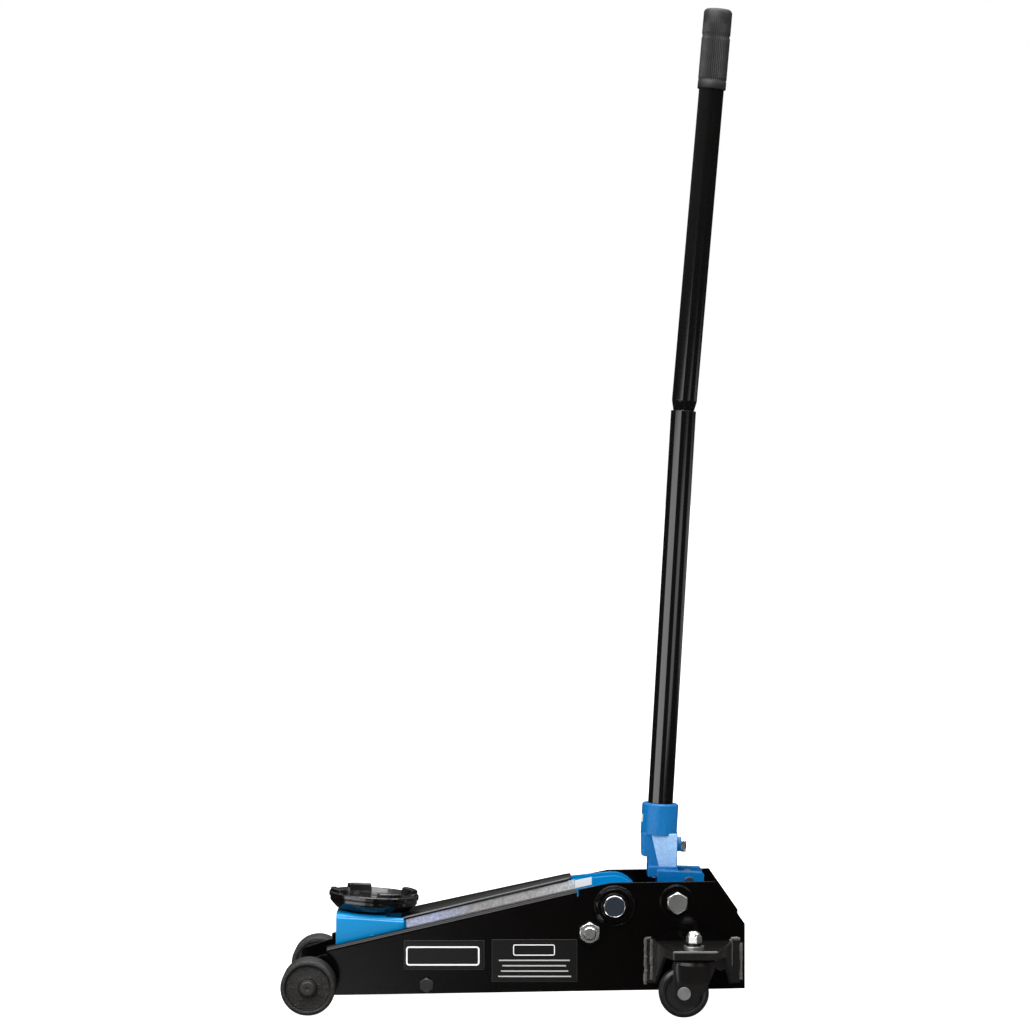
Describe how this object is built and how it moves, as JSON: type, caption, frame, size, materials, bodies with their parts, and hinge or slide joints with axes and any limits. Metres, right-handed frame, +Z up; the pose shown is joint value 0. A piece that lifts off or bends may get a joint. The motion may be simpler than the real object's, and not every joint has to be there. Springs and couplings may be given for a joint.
{
  "type": "trolley jack",
  "caption": "Hydraulic trolley jack: steel chassis on front rollers and rear swivel casters, lift arm with a levelled turning saddle, pump handle in a pivoting socket.",
  "frame": {"origin": "on the floor, under the middle of the overall box, with the handle upright and the saddle down", "axes": "+X to the rear (handle end), +Y to the operator's right, +Z up"},
  "size_m": [0.638, 0.374, 1.3897],
  "materials": {
    "chassis_enamel": "gloss black enamel",
    "arm_enamel": "gloss blue enamel",
    "cast_black": "black painted casting",
    "zinc": "bright zinc plate",
    "black_bolt": "black oxide",
    "bare_steel": "ground steel",
    "hydraulic_paint": "satin black paint over a casting",
    "fork_steel": "satin black paint",
    "spring_steel": "oiled spring wire",
    "caster_nylon": "moulded nylon",
    "handle_enamel": "gloss black enamel",
    "grip_rubber": "ribbed moulded rubber"
  },
  "bodies": {
    "frame": {"side_plate_right": "chassis_enamel", "side_plate_left": "chassis_enamel", "front_axle": "bare_steel", "front_axle_caps": "black_bolt", "front_spacers": "chassis_enamel", "front_cross_tube": "chassis_enamel", "tie_tube": "chassis_enamel", "tie_bolts": "black_bolt", "arm_shaft": "bare_steel", "shaft_collars": "chassis_enamel", "anchor_rod": "zinc", "anchor_nuts": "zinc", "socket_bolts": "zinc", "socket_bolt_washers": "chassis_enamel", "block_bolts": "black_bolt", "rear_plate": "chassis_enamel", "caster_bracket_right": "chassis_enamel", "caster_bracket_left": "chassis_enamel", "king_bolts": "zinc", "king_nuts": "zinc", "king_washers": "zinc", "caster_races": "fork_steel", "power_block": "hydraulic_paint", "oil_tank": "hydraulic_paint", "ram_gland": "bare_steel", "filler_plug": "zinc"},
    "lift_arm": {"arm_cheek_right": "arm_enamel", "arm_cheek_left": "arm_enamel", "arm_cover": "chassis_enamel", "arm_hub": "arm_enamel", "arm_lever": "arm_enamel", "push_pin": "bare_steel", "front_pin": "bare_steel"},
    "push_roller": {"push_roller": "bare_steel"},
    "ram": {"ram": "bare_steel"},
    "level_rods": {"level_rod_right": "fork_steel", "level_rod_left": "fork_steel"},
    "saddle_bracket": {"bracket_shell": "arm_enamel", "link_pin": "bare_steel"},
    "saddle": {"saddle": "cast_black"},
    "handle_socket": {"handle_socket": "arm_enamel", "press_pin": "bare_steel", "set_bolt": "zinc"},
    "press_roller": {"press_roller": "bare_steel"},
    "pump_plunger": {"pump_plunger": "bare_steel", "pump_spring": "spring_steel"},
    "release_yoke": {"release_yoke": "bare_steel"},
    "release_spindle": {"release_spindle": "bare_steel"},
    "handle": {"lower_handle": "handle_enamel", "upper_handle": "handle_enamel", "handle_grip": "grip_rubber"},
    "front_wheel_right": {"front_wheel_right": "cast_black"},
    "front_wheel_left": {"front_wheel_left": "cast_black"},
    "caster_right": {"caster_fork_right": "fork_steel", "caster_axle_right": "zinc"},
    "caster_left": {"caster_fork_left": "fork_steel", "caster_axle_left": "zinc"},
    "caster_wheel_right": {"caster_wheel_right": "caster_nylon"},
    "caster_wheel_left": {"caster_wheel_left": "caster_nylon"}
  },
  "joints": [
    {"name": "lift", "type": "hinge", "parent": "frame", "child": "lift_arm", "pos_m": [0.1389, 0, 0.1418], "axis": [0, 1, 0], "range_deg": [0, 60]},
    {"name": "saddle_level", "type": "hinge", "parent": "lift_arm", "child": "saddle_bracket", "pos_m": [-0.195, 0, 0.09], "axis": [0, 1, 0], "range_deg": [-60.5, 0.5]},
    {"name": "level_link", "type": "hinge", "parent": "frame", "child": "level_rods", "pos_m": [0.1043, 0, 0.1058], "axis": [0, 1, 0], "range_deg": [-0.5, 60.5]},
    {"name": "ram_slide", "type": "slide", "parent": "frame", "child": "ram", "axis": [-1, 0, 0], "range_m": [-0.0004, 0.0704]},
    {"name": "saddle_turn", "type": "hinge", "parent": "saddle_bracket", "child": "saddle", "pos_m": [-0.198, 0, 0.1255], "axis": [0.0637, 0, 0.998], "continuous": true},
    {"name": "push_roller_turn", "type": "hinge", "parent": "lift_arm", "child": "push_roller", "pos_m": [0.1739, 0, 0.08118], "axis": [0, 1, 0], "continuous": true},
    {"name": "pump_swing", "type": "hinge", "parent": "frame", "child": "handle_socket", "pos_m": [0.2253, 0, 0.1472], "axis": [0, 1, 0], "range_deg": [0, 60]},
    {"name": "press_roller_turn", "type": "hinge", "parent": "handle_socket", "child": "press_roller", "pos_m": [0.244, 0, 0.1705], "axis": [0, 1, 0], "continuous": true},
    {"name": "plunger_slide", "type": "slide", "parent": "frame", "child": "pump_plunger", "axis": [0, 0, -1], "range_m": [-0.0003, 0.0282], "deforming": ["pump_spring"]},
    {"name": "handle_turn", "type": "hinge", "parent": "handle_socket", "child": "handle", "pos_m": [0.2056, 0, 0.279], "axis": [0.0583, 0, 0.9983], "range_deg": [0, 120]},
    {"name": "yoke_turn", "type": "hinge", "parent": "handle_socket", "child": "release_yoke", "pos_m": [0.2056, 0, 0.279], "axis": [0.0583, 0, 0.9983], "range_deg": [-0.5, 120.5]},
    {"name": "valve_turn", "type": "hinge", "parent": "frame", "child": "release_spindle", "pos_m": [0.228, 0, 0.1], "axis": [0, 0, 1], "range_deg": [-0.5, 120.5]},
    {"name": "front_wheel_right_spin", "type": "hinge", "parent": "frame", "child": "front_wheel_right", "pos_m": [-0.2815, 0.121, 0.0375], "axis": [0, 1, 0], "continuous": true},
    {"name": "caster_right_swivel", "type": "hinge", "parent": "frame", "child": "caster_right", "pos_m": [0.245, 0.15, 0.08], "axis": [0, 0, 1], "continuous": true},
    {"name": "caster_wheel_right_spin", "type": "hinge", "parent": "caster_right", "child": "caster_wheel_right", "pos_m": [0.231, 0.15, 0.034], "axis": [0, 1, 0], "continuous": true},
    {"name": "front_wheel_left_spin", "type": "hinge", "parent": "frame", "child": "front_wheel_left", "pos_m": [-0.2815, -0.121, 0.0375], "axis": [0, 1, 0], "continuous": true},
    {"name": "caster_left_swivel", "type": "hinge", "parent": "frame", "child": "caster_left", "pos_m": [0.245, -0.15, 0.08], "axis": [0, 0, 1], "continuous": true},
    {"name": "caster_wheel_left_spin", "type": "hinge", "parent": "caster_left", "child": "caster_wheel_left", "pos_m": [0.231, -0.15, 0.034], "axis": [0, 1, 0], "continuous": true}
  ],
  "couplings": [
    {"joint": "saddle_level", "follows": "lift", "ratio": -1},
    {"joint": "level_link", "follows": "lift", "ratio": 1},
    {"joint": "ram_slide", "follows": "lift", "m_per_rad": 0.066845},
    {"joint": "plunger_slide", "follows": "pump_swing", "m_per_rad": 0.026643},
    {"joint": "yoke_turn", "follows": "handle_turn", "ratio": 1},
    {"joint": "valve_turn", "follows": "handle_turn", "ratio": 1}
  ]
}
